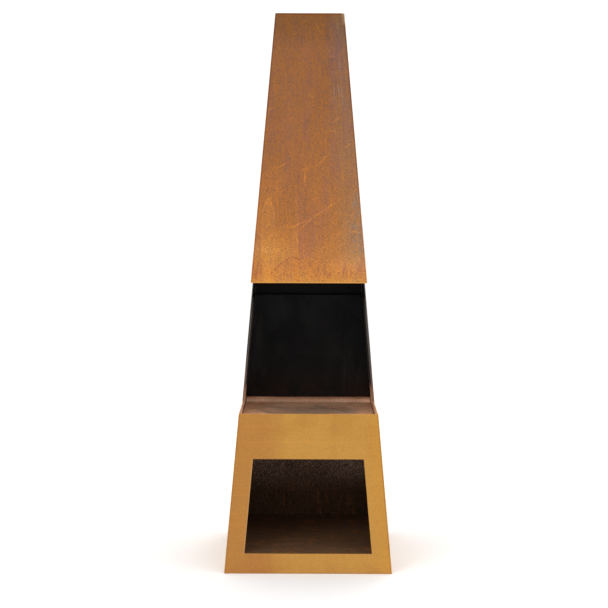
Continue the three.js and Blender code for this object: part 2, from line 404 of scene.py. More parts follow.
class Steel(Shader):
    """A material for the tower's steel, with masks that say which part of the tower a point is on."""

    def __init__(self, name):
        super().__init__(name)
        self.x, self.y, self.z = self.split(self.place)
        self.half = self.math("SUBTRACT", BASE_HALF, self.math("MULTIPLY", self.z, TAPER))
        self.across = self.math("DIVIDE", self.x, self.half)
        self.behind = self.math("ADD", self.y, self.half)
        self.level_place = self.vector("MULTIPLY", self.place, (1, 1, 0))
        facing = self.split(self.normal)[1]
        self.front = self.band(facing, -0.85, -0.95)
        self.on_hood = self.band(self.z, RIM, HOOD_BOTTOM)
        self.on_base = self.math("SUBTRACT", 1.0, self.on_hood)
        self.hood_only = self.band(self.z, HOOD_BOTTOM - 0.01, HOOD_BOTTOM)
        outward = self.vector("DOT_PRODUCT", self.level_place, self.normal)
        self.inside = self.band(outward, 0.01, -0.01)
        self.flat = self.unrolled()

    def unrolled(self):
        """The front and both sides laid flat: X is the way round from the middle of the front."""
        way_back = self.math("MULTIPLY", self.math("SIGN", self.x), self.behind)
        way_round = self.math("ADD", self.x, way_back)
        node = self.tree.nodes.new("ShaderNodeCombineXYZ")
        self.put(node.inputs["X"], way_round)
        self.put(node.inputs["Z"], self.z)
        return node.outputs[0]

    def up_tower(self, colours, height=None):
        """A ramp of colours given by height, with heights in metres."""
        stops = [(z / TOWER_HEIGHT, colour) for z, colour in colours]
        return self.ramp(self.math("DIVIDE", height or self.z, TOWER_HEIGHT), stops)

    def wavering(self, blobs, reach):
        """The unrolled place, moved about by noise."""
        wander = self.vector("SUBTRACT", self.noise_colour(blobs), (0.5, 0.5, 0.5))
        return self.vector("ADD", self.flat, self.vector("MULTIPLY", wander, reach))

    def wandering_height(self):
        """The height, moved up and down by broad, ragged noise on the sides and back."""
        share = self.band(self.behind, 0.0, 0.14)
        broad = self.noise((5, 5, 2.2), detail=5, rough=0.6, warp=0.3, offset=(7.0, 1.0, 0.0))
        drift = self.math("MULTIPLY", self.math("SUBTRACT", broad, 0.5), 0.5)
        return self.math("ADD", self.z, self.math("MULTIPLY", drift, share))

    def from_corner(self):
        """How far a point on the outside is from the nearest upright corner."""
        nearer = self.math("MINIMUM", self.math("ABSOLUTE", self.x), self.math("ABSOLUTE", self.y))
        return self.math("SUBTRACT", self.half, nearer)

    def beside_fire(self):
        """1 in the middle of the depth and between rim and hood, where the side walls are cut away."""
        middle = self.band(self.math("ABSOLUTE", self.y), 0.02, 0.012)
        above_rim = self.band(self.z, RIM + 0.002, RIM + 0.006)
        below_hood = self.band(self.z, HOOD_BOTTOM + 0.002, HOOD_BOTTOM)
        return self.all_of(middle, above_rim, below_hood)

    def grained(self, colour, amount, light, dark, blobs=360):
        """Fine rust grain: specks tinted light and dark over a colour, stronger where amount is high."""
        grain = self.noise(blobs, detail=2.0, rough=0.7)
        colour = self.tint(colour, light, self.band(grain, 0.5, 0.62), amount)
        return self.tint(colour, dark, self.band(grain, 0.5, 0.38), amount), grain

    def marks(self, place, lines, half_width, solid=0.55):
        """1 on any of the fine lines, each tapering to its ends from the solid share of its length."""
        mask = 0.0
        for (x0, z0), (x1, z1) in lines:
            centre = ((x0 + x1) / 2, (z0 + z1) / 2)
            half_length = math.hypot(x1 - x0, z1 - z0) / 2
            away = self.ellipse(place, centre, (half_length, half_width), math.atan2(z1 - z0, x1 - x0))
            mask = self.math("MAXIMUM", self.band(away, 1.0, solid), mask)
        return mask


def base_hues(s, colour):
    """The base's front is redder on its left and yellower at its right edge. All round there are faint
    upright and level bands, run-off, a splashed foot and a blush."""
    left = s.all_of(s.band(s.across, -0.25, -0.62), s.front, s.on_base)
    colour = s.tint(colour, (0.87, 0.77, 0.84), left)
    right = s.all_of(s.band(s.across, 0.72, 1.0), s.front, s.on_base)
    colour = s.tint(colour, (1.04, 1.0, 0.84), right)
    upright = s.noise((26, 26, 1.4), detail=3, offset=(2.0, 8.0, 1.0))
    colour = s.tint(colour, (0.965, 0.955, 0.96), s.band(upright, 0.5, 0.66), s.on_base)
    level = s.noise((3, 3, 150), detail=3, offset=(5.0, 1.0, 6.0))
    colour = s.tint(colour, (1.06, 1.05, 1.02), s.band(level, 0.5, 0.7), s.on_base)
    runoff = s.noise((55, 55, 1.6), detail=4, rough=0.6, warp=0.1, offset=(3.0, 6.0, 2.0))
    back_and_sides = s.all_of(s.band(s.behind, 0.0, 0.1), s.band(s.z, 0.1, 0.6), s.on_base)
    colour = s.tint(colour, (0.9, 0.84, 0.84), s.band(runoff, 0.5, 0.68), back_and_sides)
    ragged = s.noise((40, 40, 20), detail=4, rough=0.6)
    splash = s.math("ADD", s.z, s.math("MULTIPLY", ragged, 0.05))
    colour = s.tint(colour, (0.93, 0.9, 0.93), s.band(splash, 0.05, 0.02))
    blush = s.noise((9, 9, 12), detail=4, warp=0.5, offset=(1.0, 3.0, 9.0))
    return s.tint(colour, (0.95, 0.91, 0.9), s.band(blush, 0.52, 0.7), s.on_base)


def store_edge(s, colour):
    """A pale, rubbed edge down the left of the log store's opening."""
    from_left = s.math("ADD", s.half, s.x)
    beside = s.band(from_left, STORE_MARGIN - 0.003, STORE_MARGIN - 0.0015)
    over_floor = s.band(s.z, STORE_BOTTOM - 0.002, STORE_BOTTOM)
    under_top = s.band(s.z, STORE_TOP + 0.001, STORE_TOP)
    edge = s.all_of(beside, s.band(s.x, 0.0, -0.02), over_floor, under_top)
    return s.paint(colour, seen(206, 162, 118), edge, s.front, s.band(from_left, 0.06, 0.055), 0.6)


def hood_hues(s, colour):
    """Soft patches of purple-grey, olive and orange, with upright streaks and a greyer right corner."""
    clouds = s.noise((10, 10, 4), detail=5, rough=0.65, warp=0.3, offset=(3.1, 0.4, 7.7))
    colour = s.tint(colour, (0.9, 0.91, 0.95), s.band(clouds, 0.5, 0.34), s.on_hood)
    colour = s.tint(colour, (1.05, 1.05, 0.98), s.band(clouds, 0.52, 0.68), s.on_hood)
    mottle = s.noise((130, 130, 90), detail=3, rough=0.7, warp=0.2, offset=(1.7, 5.2, 0.3))
    mottled = s.all_of(s.on_hood, s.band(s.z, 0.8, 1.05, 0.45, 1.0))
    colour = s.tint(colour, (1.08, 1.02, 0.84), s.band(mottle, 0.5, 0.64), mottled)
    colour = s.tint(colour, (0.93, 0.95, 1.1), s.band(mottle, 0.5, 0.36), mottled)
    upper = s.band(s.z, 0.8, 0.9)
    purple = s.noise((34, 34, 2.6), detail=4, rough=0.6, warp=0.1, offset=(0.6, 2.2, 4.1))
    colour = s.tint(colour, (0.96, 0.95, 1.2), s.band(purple, 0.5, 0.64), upper)
    fine = s.noise((150, 150, 7), detail=4, rough=0.65, offset=(9.6, 0.2, 3.1))
    colour = s.tint(colour, (1.11, 1.04, 0.8), s.band(fine, 0.52, 0.64), s.on_hood)
    colour = s.tint(colour, (0.9, 0.94, 1.12), s.band(fine, 0.48, 0.36), s.on_hood)
    round_corner = s.math("SUBTRACT", s.across, s.math("DIVIDE", s.y, s.half))
    right = s.band(round_corner, 1.2, 1.9)
    streaky = s.math("ADD", s.math("MULTIPLY", fine, 0.7), s.math("MULTIPLY", purple, 0.5))
    greyed = s.math("ADD", right, s.math("MULTIPLY", s.math("SUBTRACT", streaky, 0.6), 2.2))
    upper = s.band(s.z, 0.8, 0.85, 0.3, 1.0)
    colour = s.tint(colour, (0.92, 1.12, 1.66), s.band(greyed, 0.0, 1.2), s.on_hood, upper)
    return colour, mottle


def pale_patches(s, place, colour):
    """Ochre patches low on the left of the hood's front, two of them with rims, and paler lower corners."""
    outer = s.hood_only
    patch = s.ellipse(place, *TALL_PATCH)
    colour = s.tint(colour, (1.12, 1.13, 1.0), s.band(patch, 1.0, 0.93), outer)
    rim = s.all_of(s.band(patch, 0.85, 0.95), s.band(patch, 1.07, 0.99), s.band(s.z, 0.93, 0.97))
    colour = s.tint(colour, (1.18, 1.18, 1.02), rim)
    smear = s.noise((40, 40, 300), detail=2, offset=(3.0, 0.0, 2.0))
    smeared = s.all_of(s.band(s.ellipse(place, *SMEAR), 1.0, 0.4), s.band(smear, 0.38, 0.56))
    colour = s.tint(colour, (1.11, 1.16, 1.25), smeared, outer, s.front)
    shade = s.ellipse(place, *SHADE)
    colour = s.tint(colour, (0.94, 0.93, 0.95), s.band(shade, 1.1, 0.5), outer)
    glow = s.ellipse(place, *GLOW)
    colour = s.tint(colour, (1.06, 1.11, 1.08), s.band(glow, 1.05, 0.5), outer)
    low_left = s.all_of(s.band(s.across, -0.75, -1.0), s.band(s.z, 0.86, 0.82), s.front, outer)
    colour = s.tint(colour, (0.88, 0.85, 0.88), low_left)
    low = s.all_of(s.band(s.z, 0.79, 0.815), s.band(s.z, 0.86, 0.82))
    low_right = s.all_of(s.band(s.across, 0.2, 0.6), low, s.front, outer)
    colour = s.tint(colour, (1.13, 1.15, 1.16), low_right)
    lobe = s.ellipse(place, *LOBE)
    colour = s.tint(colour, (1.07, 1.07, 0.98), s.band(lobe, 1.0, 0.92), outer)
    rim = s.all_of(s.band(lobe, 0.88, 0.96), s.band(lobe, 1.06, 0.99), s.band(s.x, -0.06, -0.04))
    return s.tint(colour, (1.14, 1.11, 0.96), rim, outer, s.front)


def purple_stain(s, place, colour):
    """A purple stain with a wavering, pale-lined left edge, that ends in a tide line."""
    outer = s.hood_only
    place_x, _, place_z = s.split(place)
    waver = s.math("MULTIPLY", s.noise((3, 3, 22), detail=2, offset=(0.0, 5.0, 1.0)), 0.012)
    left = s.band(s.z, 0.98, 0.86, -0.0225, -0.0195)
    edge = s.math("SUBTRACT", s.math("ADD", place_x, waver), left)
    level = s.all_of(s.band(place_z, 0.832, 0.852), s.band(s.z, 1.1, 0.92), s.front, outer)
    stained = s.all_of(s.band(edge, -0.001, 0.001), s.band(edge, 0.055, 0.015), level)
    colour = s.tint(colour, (0.935, 0.93, 1.22), stained)
    lined = s.all_of(s.band(edge, -0.0075, -0.0045), s.band(edge, 0.0005, -0.002), level)
    colour = s.tint(colour, (1.12, 1.1, 0.95), lined)
    runs = s.marks(place, PURPLE_RUNS, 0.0075)
    colour = s.tint(colour, (0.96, 0.94, 1.12), runs, outer)
    blotch = s.ellipse(place, *BLOTCH)
    colour = s.tint(colour, (0.97, 0.945, 1.08), s.band(blotch, 1.05, 0.5), outer)
    tide = s.marks(place, TIDE_LINE, 0.003)
    return s.tint(colour, (0.84, 0.72, 0.98), tide, outer)


def hem_specks(s, colour):
    """Dark drips and specks close above the hood's fold."""
    low = s.all_of(s.band(s.z, 0.845, 0.825), s.band(s.z, HOOD_BOTTOM + 0.004, HOOD_BOTTOM + 0.02))
    drips = s.noise((120, 120, 26), detail=3, rough=0.6, offset=(4.0, 4.0, 1.5))
    colour = s.tint(colour, (0.84, 0.76, 1.05), s.band(drips, 0.52, 0.66), low, 0.9)
    specks = s.noise(150, detail=2.0, offset=(2.6, 1.0, 8.0))
    near_fold = s.all_of(s.band(s.z, 0.84, 0.8), s.hood_only)
    return s.tint(colour, (0.66, 0.55, 0.95), s.band(specks, 0.62, 0.7), near_fold)


def grey_scale(s, place, colour):
    """Upright flecks of grey scale beside the right edge."""
    scale = s.noise((230, 230, 48), detail=2.5, rough=0.65, offset=(1.5, 7.0, 2.0))
    near = s.band(s.ellipse(place, *SCALE_SPOT), 1.05, 0.6)
    return s.paint(colour, seen(142, 128, 116), s.band(scale, 0.5, 0.62), near, s.hood_only, 0.75)


def hood_weather(s, colour):
    """Where water stood and ran on the hood's front."""
    place = s.wavering(24, (0.012, 0, 0.02))
    colour = pale_patches(s, place, colour)
    colour = purple_stain(s, place, colour)
    colour = hem_specks(s, colour)
    return grey_scale(s, place, colour)


def hood_marks(s, colour):
    """Scratches and runs: drawn ones on the front, scattered ones elsewhere."""
    place = s.wavering(60, (0.005, 0, 0.005))
    scratches = s.marks(place, SCRATCHES, LINE_HALF_WIDTH, solid=0.75)
    colour = s.tint(colour, (1.34, 1.28, 1.06), scratches, s.hood_only)
    orange = s.marks(place, ORANGE_RUNS, LINE_HALF_WIDTH)
    colour = s.tint(colour, (1.22, 1.06, 0.6), orange, s.hood_only, 0.9)
    pale = s.marks(place, PALE_RUNS, LINE_HALF_WIDTH * 1.1, solid=0.2)
    broken = s.band(s.noise((40, 40, 28)), 0.36, 0.56)
    colour = s.paint(colour, seen(168, 134, 112), pale, broken, s.hood_only, 0.6)

    slanted = s.turned(math.radians(36), (6, 70, 210))
    lines = s.noise(1.0, detail=1.0, place=slanted, offset=(0.0, 0.0, 3.3))
    gathered = s.noise(9, detail=1.0, offset=(6.1, 1.1, 2.9))
    sides = s.math("SUBTRACT", s.on_hood, s.front, clamp=True)
    share = s.all_of(s.band(lines, 0.66, 0.72), s.band(gathered, 0.5, 0.6), sides)
    return s.tint(colour, (1.3, 1.16, 0.95), share)


def edge_colours(s, colour):
    """Brown high on the hood's corners and along its top, bright along its fold, and pale where the
    front's right corner is rubbed low down and worn at the top."""
    corner = s.all_of(s.band(s.from_corner(), 0.0038, 0.0028), s.on_hood)
    colour = s.tint(colour, (0.88, 0.74, 0.5), corner, s.band(s.z, 0.85, 1.3, 0.1, 0.9))
    rubbed = s.all_of(corner, s.hood_only, s.band(s.z, 1.02, 0.96), s.band(s.x, 0.0, 0.05))
    colour = s.tint(colour, (1.22, 1.34, 1.7), rubbed, s.band(s.y, 0.0, -0.05))
    top_edge = s.band(s.z, TOWER_HEIGHT - 0.006, TOWER_HEIGHT - 0.004)
    colour = s.paint(colour, seen(122, 70, 26), top_edge, 0.8)
    fold = s.all_of(s.band(s.z, HOOD_BOTTOM + 0.0048, HOOD_BOTTOM + 0.003), s.hood_only, s.front)
    colour = s.paint(colour, seen(224, 158, 82), fold, 0.8)
    ragged = s.math("ADD", s.x, s.math("MULTIPLY", s.noise(60), 0.01))
    worn = s.all_of(s.band(ragged, TOP_HALF - 0.004, TOP_HALF + 0.001), s.band(s.z, 1.466, 1.48), s.front)
    return s.paint(colour, seen(212, 176, 142), worn, 0.85)


def sooty_and_highlit_jambs(s, colour):
    """The cut edges of the side walls beside the fire: soot above, tan rust below, and greyer on the right,
    where the grey is a painted highlight.
    """
    soot = s.mix(s.band(s.z, 0.5, 0.57), seen(150, 110, 82), seen(66, 58, 52))
    # Painted highlight: grey replaces the soot and tan on the right-hand edges.
    highlit_grey = s.paint(soot, seen(104, 96, 90), s.band(s.z, 0.46, 0.53))
    soot = s.paint(soot, highlit_grey, s.band(s.x, -0.05, 0.05))
    return s.paint(colour, soot, s.beside_fire(), s.front)


def inner_faces(s):
    """Brown scale with pale grains, orange runs low in the log store, soot in the flue, and painted light
    in the log store's upper corners.
    """
    colour = s.up_tower(INSIDE)
    runs = s.noise((80, 80, 7), detail=3, rough=0.6, offset=(9.0, 4.0, 2.0))
    low_down = s.all_of(s.band(runs, 0.53, 0.66), s.band(s.z, 0.17, 0.13))
    colour = s.paint(colour, seen(124, 74, 36), low_down, 0.45)
    # Painted light: the log store's upper corners are lightened to a paler grey in soft patches.
    bloom = s.noise((6, 6, 8), detail=3, offset=(2.0, 2.0, 5.0))
    painted_corner_light = s.all_of(s.band(s.math("ABSOLUTE", s.x), 0.03, 0.13), s.band(s.z, 0.13, 0.2))
    colour = s.tint(colour, (1.6, 1.72, 1.85), painted_corner_light, s.band(bloom, 0.3, 0.6), s.on_base)
    amount = s.all_of(s.band(s.z, STORE_TOP, HEARTH_TOP, 1.0, 0.1), s.band(s.z, 0.13, 0.24, 0.5, 1.0))
    colour, _ = s.grained(colour, amount, (3.9, 4.2, 4.9), (0.08, 0.07, 0.08), blobs=390)
    return colour


def weathered_steel():
    """Rust outside, smooth on the base and mottled, streaked and scratched on the hood. Scale inside."""
    s = Steel("weathered_steel")
    colour = base_hues(s, s.up_tower(PATINA, s.wandering_height()))
    colour = store_edge(s, colour)
    colour, mottle = hood_hues(s, colour)
    colour = hood_weather(s, colour)
    grain_amount = s.band(s.z, 0.55, 0.8, 0.4, 1.0)
    grain_amount = s.math("SUBTRACT", grain_amount, s.band(s.z, 0.9, 1.2, 0.0, 0.3))
    rusty = s.band(s.z, 0.88, 1.12)
    colour, grain = s.grained(colour, s.all_of(grain_amount, rusty), (1.33, 1.19, 0.9), (0.69, 0.72, 0.86))
    ochre = s.math("SUBTRACT", 1.0, rusty)
    colour, _ = s.grained(colour, s.all_of(grain_amount, ochre), (1.24, 1.2, 1.12), (0.71, 0.7, 0.74))
    colour = edge_colours(s, hood_marks(s, colour))
    colour = s.paint(colour, inner_faces(s), s.inside)
    colour = sooty_and_highlit_jambs(s, colour)
    rough = s.band(grain, 0.3, 0.7, 0.72, 0.95)
    relief = s.math("ADD", s.math("MULTIPLY", grain, 0.6), s.math("MULTIPLY", mottle, 0.5))
    return s.finish(colour, rough, s.bump(relief, 0.0005, 0.5), specular=0.14)


def worn_edge():
    """The rounded arris of a cut sheet, where the rust is rubbed brighter, or sooty beside the fire."""
    s = Steel("worn_edge")
    colour = s.mix(1.0, s.up_tower(PATINA), (1.1, 1.03, 0.9, 1), "MULTIPLY")
    patches = s.noise((40, 40, 25), detail=4, rough=0.6)
    colour = s.tint(colour, (0.7, 0.62, 0.55), s.band(patches, 0.5, 0.7))
    colour, grain = s.grained(colour, 0.4, (1.3, 1.2, 1.0), (0.7, 0.65, 0.6))
    corner = s.all_of(s.band(s.from_corner(), 0.0045, 0.0038), s.on_hood)
    colour = s.tint(colour, (0.84, 0.7, 0.5), corner, s.band(s.z, 0.85, 1.3, 0.1, 1.0))
    soot = s.mix(s.band(s.z, 0.5, 0.57), seen(140, 104, 80), seen(70, 62, 56))
    colour = s.paint(colour, soot, s.beside_fire())
    rough = s.band(grain, 0.3, 0.7, 0.6, 0.88)
    return s.finish(colour, rough, s.bump(grain, 0.0004, 0.5), specular=0.25)


def inner_steel():
    """Ledges, gussets and the log store's floor: brown scale with orange bloom and rubbed marks."""
    s = Steel("inner_steel")
    by_hearth = s.band(s.z, 0.3, 0.36)
    colour = s.mix(by_hearth, seen(104, 74, 50), seen(160, 118, 90))
    bloom = s.noise(26, detail=5, rough=0.62, warp=0.5)
    colour = s.paint(colour, seen(142, 90, 50), s.band(bloom, 0.5, 0.68), 0.7)
    scale = s.noise(60, detail=3, offset=(4, 4, 4))
    colour = s.paint(colour, seen(66, 50, 42), s.band(scale, 0.55, 0.72), 0.6)
    rubbed = s.noise((9, 150, 150), detail=2, offset=(1, 2, 3))
    colour = s.paint(colour, seen(166, 128, 94), s.band(rubbed, 0.6, 0.7), 0.3)
    colour, grain = s.grained(colour, 0.6, (1.6, 1.5, 1.3), (0.5, 0.48, 0.5))
    rough = s.band(grain, 0.3, 0.7, 0.7, 0.95)
    return s.finish(colour, rough, s.bump(s.math("ADD", grain, bloom), 0.0006, 0.6), specular=0.2)


def black_steel():
    """Heat-resistant black paint with a low sheen, sooty and mottled, browner low down by the fire, with
    painted grey reflections towards both sides.
    """
    s = Steel("black_steel")
    colour = seen(14, 13, 13)
    soot = s.noise((7, 7, 5), detail=4, rough=0.6, warp=0.7)
    colour = s.paint(colour, seen(9, 8, 8), s.band(soot, 0.42, 0.62))
    # Painted reflection: soft grey patches towards both sides, standing in for studio light mirrored in the
    # plate.
    painted_reflection = s.noise((16, 16, 5), detail=4, rough=0.6, warp=0.4, offset=(3, 1, 6))
    reflection_sides = s.band(s.math("ABSOLUTE", s.x), 0.03, 0.12)
    colour = s.paint(colour, seen(37, 35, 34), s.band(painted_reflection, 0.46, 0.7), reflection_sides, 0.8)
    burnt = s.all_of(s.band(s.z, 0.52, 0.43), s.band(soot, 0.3, 0.6), 0.5)
    colour = s.paint(colour, seen(52, 35, 27), burnt)
    colour, fine = s.grained(colour, 0.5, (1.8, 1.8, 1.8), (0.5, 0.5, 0.5), blobs=330)
    rough = s.math("ADD", s.band(soot, 0.3, 0.7, 0.42, 0.62), s.math("MULTIPLY", painted_reflection, 0.1))
    rolled = s.noise((6, 6, 90), detail=2)
    normal = s.bump(fine, 0.0003, 0.3, below=s.bump(rolled, 0.0002, 0.3))
    return s.finish(colour, rough, normal, specular=0.1)


def liner_grey_painted_light():
    """The side linings: grey with a painted highlight, palest along the front edge, with upright smears,
    and darkened at the top as a painted shadow of the hood.
    """
    s = Steel("liner_grey_painted_light")
    smears = s.noise((30, 30, 5), detail=4, rough=0.6, warp=0.3)
    # Painted highlight: the lining is coloured grey as if lit by the studio light.
    colour = s.mix(s.band(smears, 0.35, 0.65), seen(50, 47, 45), seen(78, 73, 69))
    # Painted highlight: palest along the front edge.
    lit_front_edge = s.band(s.y, 0.02, 0.002)
    colour = s.paint(colour, seen(122, 112, 104), lit_front_edge, 0.6)
    # Painted shadow of the hood: the top of the lining is darkened.
    hood_shadow_top = s.band(s.z, LINING_TOP - 0.06, LINING_TOP)
    colour = s.paint(colour, seen(24, 22, 21), hood_shadow_top, 0.7)
    colour, fine = s.grained(colour, 0.5, (1.4, 1.4, 1.4), (0.6, 0.6, 0.6))
    rough = s.band(smears, 0.3, 0.7, 0.5, 0.7)
    return s.finish(colour, rough, s.bump(fine, 0.0003, 0.3), specular=0.15)


def fired_steel():
    """The hearth plate: dull tan rust, pale with ash, scorched dark where the fire lies."""
    s = Steel("fired_steel")
    colour = seen(228, 178, 142)
    bloom = s.noise(18, detail=5, rough=0.6, warp=0.8)
    colour = s.paint(colour, seen(208, 150, 112), s.band(bloom, 0.45, 0.68))
    away = s.vector("LENGTH", s.level_place)
    ragged = s.math("ADD", away, s.math("MULTIPLY", s.math("SUBTRACT", bloom, 0.5), 0.16))
    colour = s.paint(colour, seen(96, 82, 72), s.band(ragged, 0.16, 0.04), 0.6)
    smoke = s.noise((7, 7, 7), detail=5, rough=0.65, warp=0.6, offset=(8, 3, 2))
    colour = s.paint(colour, seen(84, 74, 68), s.band(smoke, 0.5, 0.66), s.band(away, 0.2, 0.1), 0.5)
    ash = s.noise(55, detail=5, rough=0.7, offset=(5, 2, 1))
    colour = s.paint(colour, seen(190, 170, 152), s.band(ash, 0.52, 0.7), 0.5)
    colour, grain = s.grained(colour, 0.5, (1.3, 1.25, 1.15), (0.6, 0.56, 0.56))
    rough = s.band(grain, 0.3, 0.7, 0.8, 0.98)
    return s.finish(colour, rough, s.bump(s.math("ADD", grain, ash), 0.0008, 0.7), specular=0.12)


def zinc_steel():
    """Dull zinc plate on the fixings, spotted with white bloom and a little rust."""
    s = Shader("zinc_steel")
    spangle = s.noise(700, detail=2, rough=0.6)
    colour = s.ramp(spangle, [(0.3, srgb(128, 128, 126)), (0.7, srgb(176, 175, 170))])
    bloom = s.noise(260, detail=4, rough=0.6, offset=(2, 2, 2))
    colour = s.paint(colour, srgb(206, 204, 198), s.band(bloom, 0.56, 0.7), 0.6)
    rust = s.noise(150, detail=4, rough=0.65, offset=(7, 1, 3))
    rust_share = s.band(rust, 0.57, 0.68)
    colour = s.paint(colour, srgb(150, 92, 50), rust_share, 0.8)
    rough = s.math("ADD", 0.38, s.math("MULTIPLY", rust_share, 0.4))
    return s.finish(colour, rough, s.bump(spangle, 0.0002, 0.4), metallic=0.75)


def weld_metal():
    """Weld bead: dark scale with straw and blue heat tints, rusting in its ripples."""
    s = Steel("weld_metal")
    tint = s.noise(45, detail=3)
    colour = s.mix(s.band(tint, 0.42, 0.62), srgb(84, 62, 52), srgb(96, 80, 86))
    rust = s.noise(160, detail=4, rough=0.65)
    colour = s.paint(colour, srgb(152, 92, 48), s.band(rust, 0.45, 0.62))
    soot = s.all_of(s.band(s.z, RIM, LINER_BOTTOM), s.band(s.z, TOWER_HEIGHT, 1.2))
    colour = s.paint(colour, seen(16, 15, 14), soot, 0.93)
    rough = s.band(rust, 0.4, 0.65, 0.45, 0.9)
    return s.finish(colour, rough, s.bump(rust, 0.0003, 0.5), metallic=0.3)


# ---------------------------------------------------------------- mesh helpers
def mesh_object(name, vertices, faces, material, smooth=True):
    mesh = bpy.data.meshes.new(name)
    mesh.from_pydata(vertices, [], faces)
    mesh.validate()
    mesh.materials.append(material)
    if smooth:
        mesh.shade_smooth()
    piece = bpy.data.objects.new(name, mesh)
    bpy.context.scene.collection.objects.link(piece)
    return piece


def loft(rings, closed):
    """Vertices and faces through rings of equal length. A closed loft joins its last ring to its first."""
    count = len(rings[0])
    vertices = [point for ring in rings for point in ring]
    faces = []
    for level in range(len(rings) if closed else len(rings) - 1):
        here = level * count
        there = (level + 1) % len(rings) * count
        for i in range(count):
            j = (i + 1) % count
            faces.append((here + i, here + j, there + j, there + i))
    if not closed:
        faces.append(tuple(reversed(range(count))))
        faces.append(tuple(range((len(rings) - 1) * count, len(rings) * count)))
    return vertices, faces


def shift_faces(faces, by):
    return [tuple(index + by for index in face) for face in faces]


JOIN_DISTANCE = 0.00002
SHARP_ANGLE = math.radians(40)
# Widths of the rounded edges
SHEET_ARRIS = 0.0006
FOLD_ARRIS = 0.0009
PLATE_ARRIS = 0.0008
LINING_ARRIS = 0.0005
GUSSET_ARRIS = 0.0004
FIXING_ARRIS = 0.0003


def soften(piece, width, edge_material):
    """Rounds a CAD node's sharp edges without changing its mesh, and gives them their own material."""
    piece.data.materials.append(edge_material)
    weld = piece.modifiers.new("join_corners", "WELD")
    weld.merge_threshold = JOIN_DISTANCE
    bevel = piece.modifiers.new("round_edges", "BEVEL")
    bevel.width = width
    bevel.segments = 2
    bevel.limit_method = "ANGLE"
    bevel.angle_limit = SHARP_ANGLE
    bevel.material = len(piece.data.materials) - 1
    bevel.harden_normals = False


def dress(node, material, arris, edge_material=None):
    """Gives a CAD node its material and rounded edges."""
    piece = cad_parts[node]
    piece.data.materials.clear()
    piece.data.materials.append(material)
    soften(piece, arris, edge_material or material)


# ---------------------------------------------------------------- weld beads
BEAD_RADIUS = 0.0022
BEAD_LENGTH = 0.028
BEAD_END = 0.003
BEAD_END_SHARE = 0.12  # of the radius, left at the very ends
BEAD_SIDES = 7
BEAD_UNEVENNESS = (0.94, 1.06)
RIPPLE_PITCH = 0.0021
RIPPLE_HEIGHT = 0.13  # of the radius
RINGS_PER_RIPPLE = 2.4
STITCH_REACH = 0.0012  # from the wall to a stitch's middle
UNDER_LEDGE = 0.0004
OVER_GUSSET = 0.0006
LEDGE_ENDS = 0.02
GUSSET_OUTER_END = 0.012
GUSSET_INNER_END = 0.01
LEDGE_STITCH_SPACING = 0.11
GUSSET_STITCH_SPACING = 0.04
SEAM_REACH = 0.0006
SEAM_FOOT = 0.06
SEAM_UNDER_HEARTH = 0.392
SEAM_OVER_LIP = HOOD_BOTTOM + 0.014
SEAM_TOP = TOWER_HEIGHT - 0.004


def bead(start, end, rng):
    """One stitch of weld: a rippled, round-ended bar from start to end."""
    along = end - start
    steps = int(along.length / RIPPLE_PITCH * RINGS_PER_RIPPLE)
    along_unit = along.normalized()
    side = along_unit.orthogonal().normalized()
    up = along_unit.cross(side)
    rings = []
    for step in range(steps + 1):
        t = step / steps
        to_end = min(t, 1 - t) * along.length
        ends = max(BEAD_END_SHARE, min(1.0, to_end / BEAD_END) ** 0.5)
        ripple = 1 + RIPPLE_HEIGHT * math.cos(2 * math.pi * t * along.length / RIPPLE_PITCH)
        radius = BEAD_RADIUS * ends * ripple * rng.uniform(*BEAD_UNEVENNESS)
        centre = start + along * t
        ring = []
        for k in range(BEAD_SIDES):
            angle = 2 * math.pi * k / BEAD_SIDES
            ring.append(centre + radius * (math.cos(angle) * side + math.sin(angle) * up))
        rings.append(ring)
    return loft(rings, closed=False)


def add_welds(name, stitches, material):
    """Many stitches as one piece that rides with the body."""
    rng = random.Random(name)
    vertices, faces = [], []
    for start, end in stitches:
        more_vertices, more_faces = bead(Vector(start), Vector(end), rng)
        faces += shift_faces(more_faces, len(vertices))
        vertices += more_vertices
    piece = mesh_object(name, vertices, faces, material)
    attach(piece, "body")


def stitches_along(start, end, spacing):
    """Stitches at an even spacing from start to end."""
    start, end = Vector(start), Vector(end)
    length = (end - start).length
    count = max(2, round(length / spacing))
    unit = (end - start).normalized()
    result = []
    for i in range(count):
        centre = start + (end - start) * ((i + 0.5) / count)
        result.append((centre - unit * BEAD_LENGTH / 2, centre + unit * BEAD_LENGTH / 2))
    return result


def turned_about_z(stitches, turn):
    matrix = Matrix.Rotation(turn, 3, "Z")
    return [(matrix @ start, matrix @ end) for start, end in stitches]


def ledge_stitches(prefix):
    """Under each ledge's hanging leg, where it meets the wall."""
    result = []
    for place, turn in TURNS.items():
        low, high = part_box(f"{prefix}_{place}")
        along = (high.x - low.x if place in ("front", "rear") else high.y - low.y) / 2 - LEDGE_ENDS
        y = STITCH_REACH - inner_half(low.z)
        z = low.z - UNDER_LEDGE
        line = stitches_along((-along, y, z), (along, y, z), LEDGE_STITCH_SPACING)
        result += turned_about_z(line, turn)
    return result


def gusset_stitches():
    """Along both legs of each corner plate, on its upper side."""
    low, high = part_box("base_gusset_front_left")
    y = STITCH_REACH - inner_half(high.z)
    z = high.z + OVER_GUSSET
    start = (low.x + GUSSET_OUTER_END, y, z)
    end = (high.x - GUSSET_INNER_END, y, z)
    line = stitches_along(start, end, GUSSET_STITCH_SPACING)
    mirrored = [(Vector((a.y, a.x, a.z)), Vector((b.y, b.x, b.z))) for a, b in line]
    return [pair for turn in TURNS.values() for pair in turned_about_z(line + mirrored, turn)]


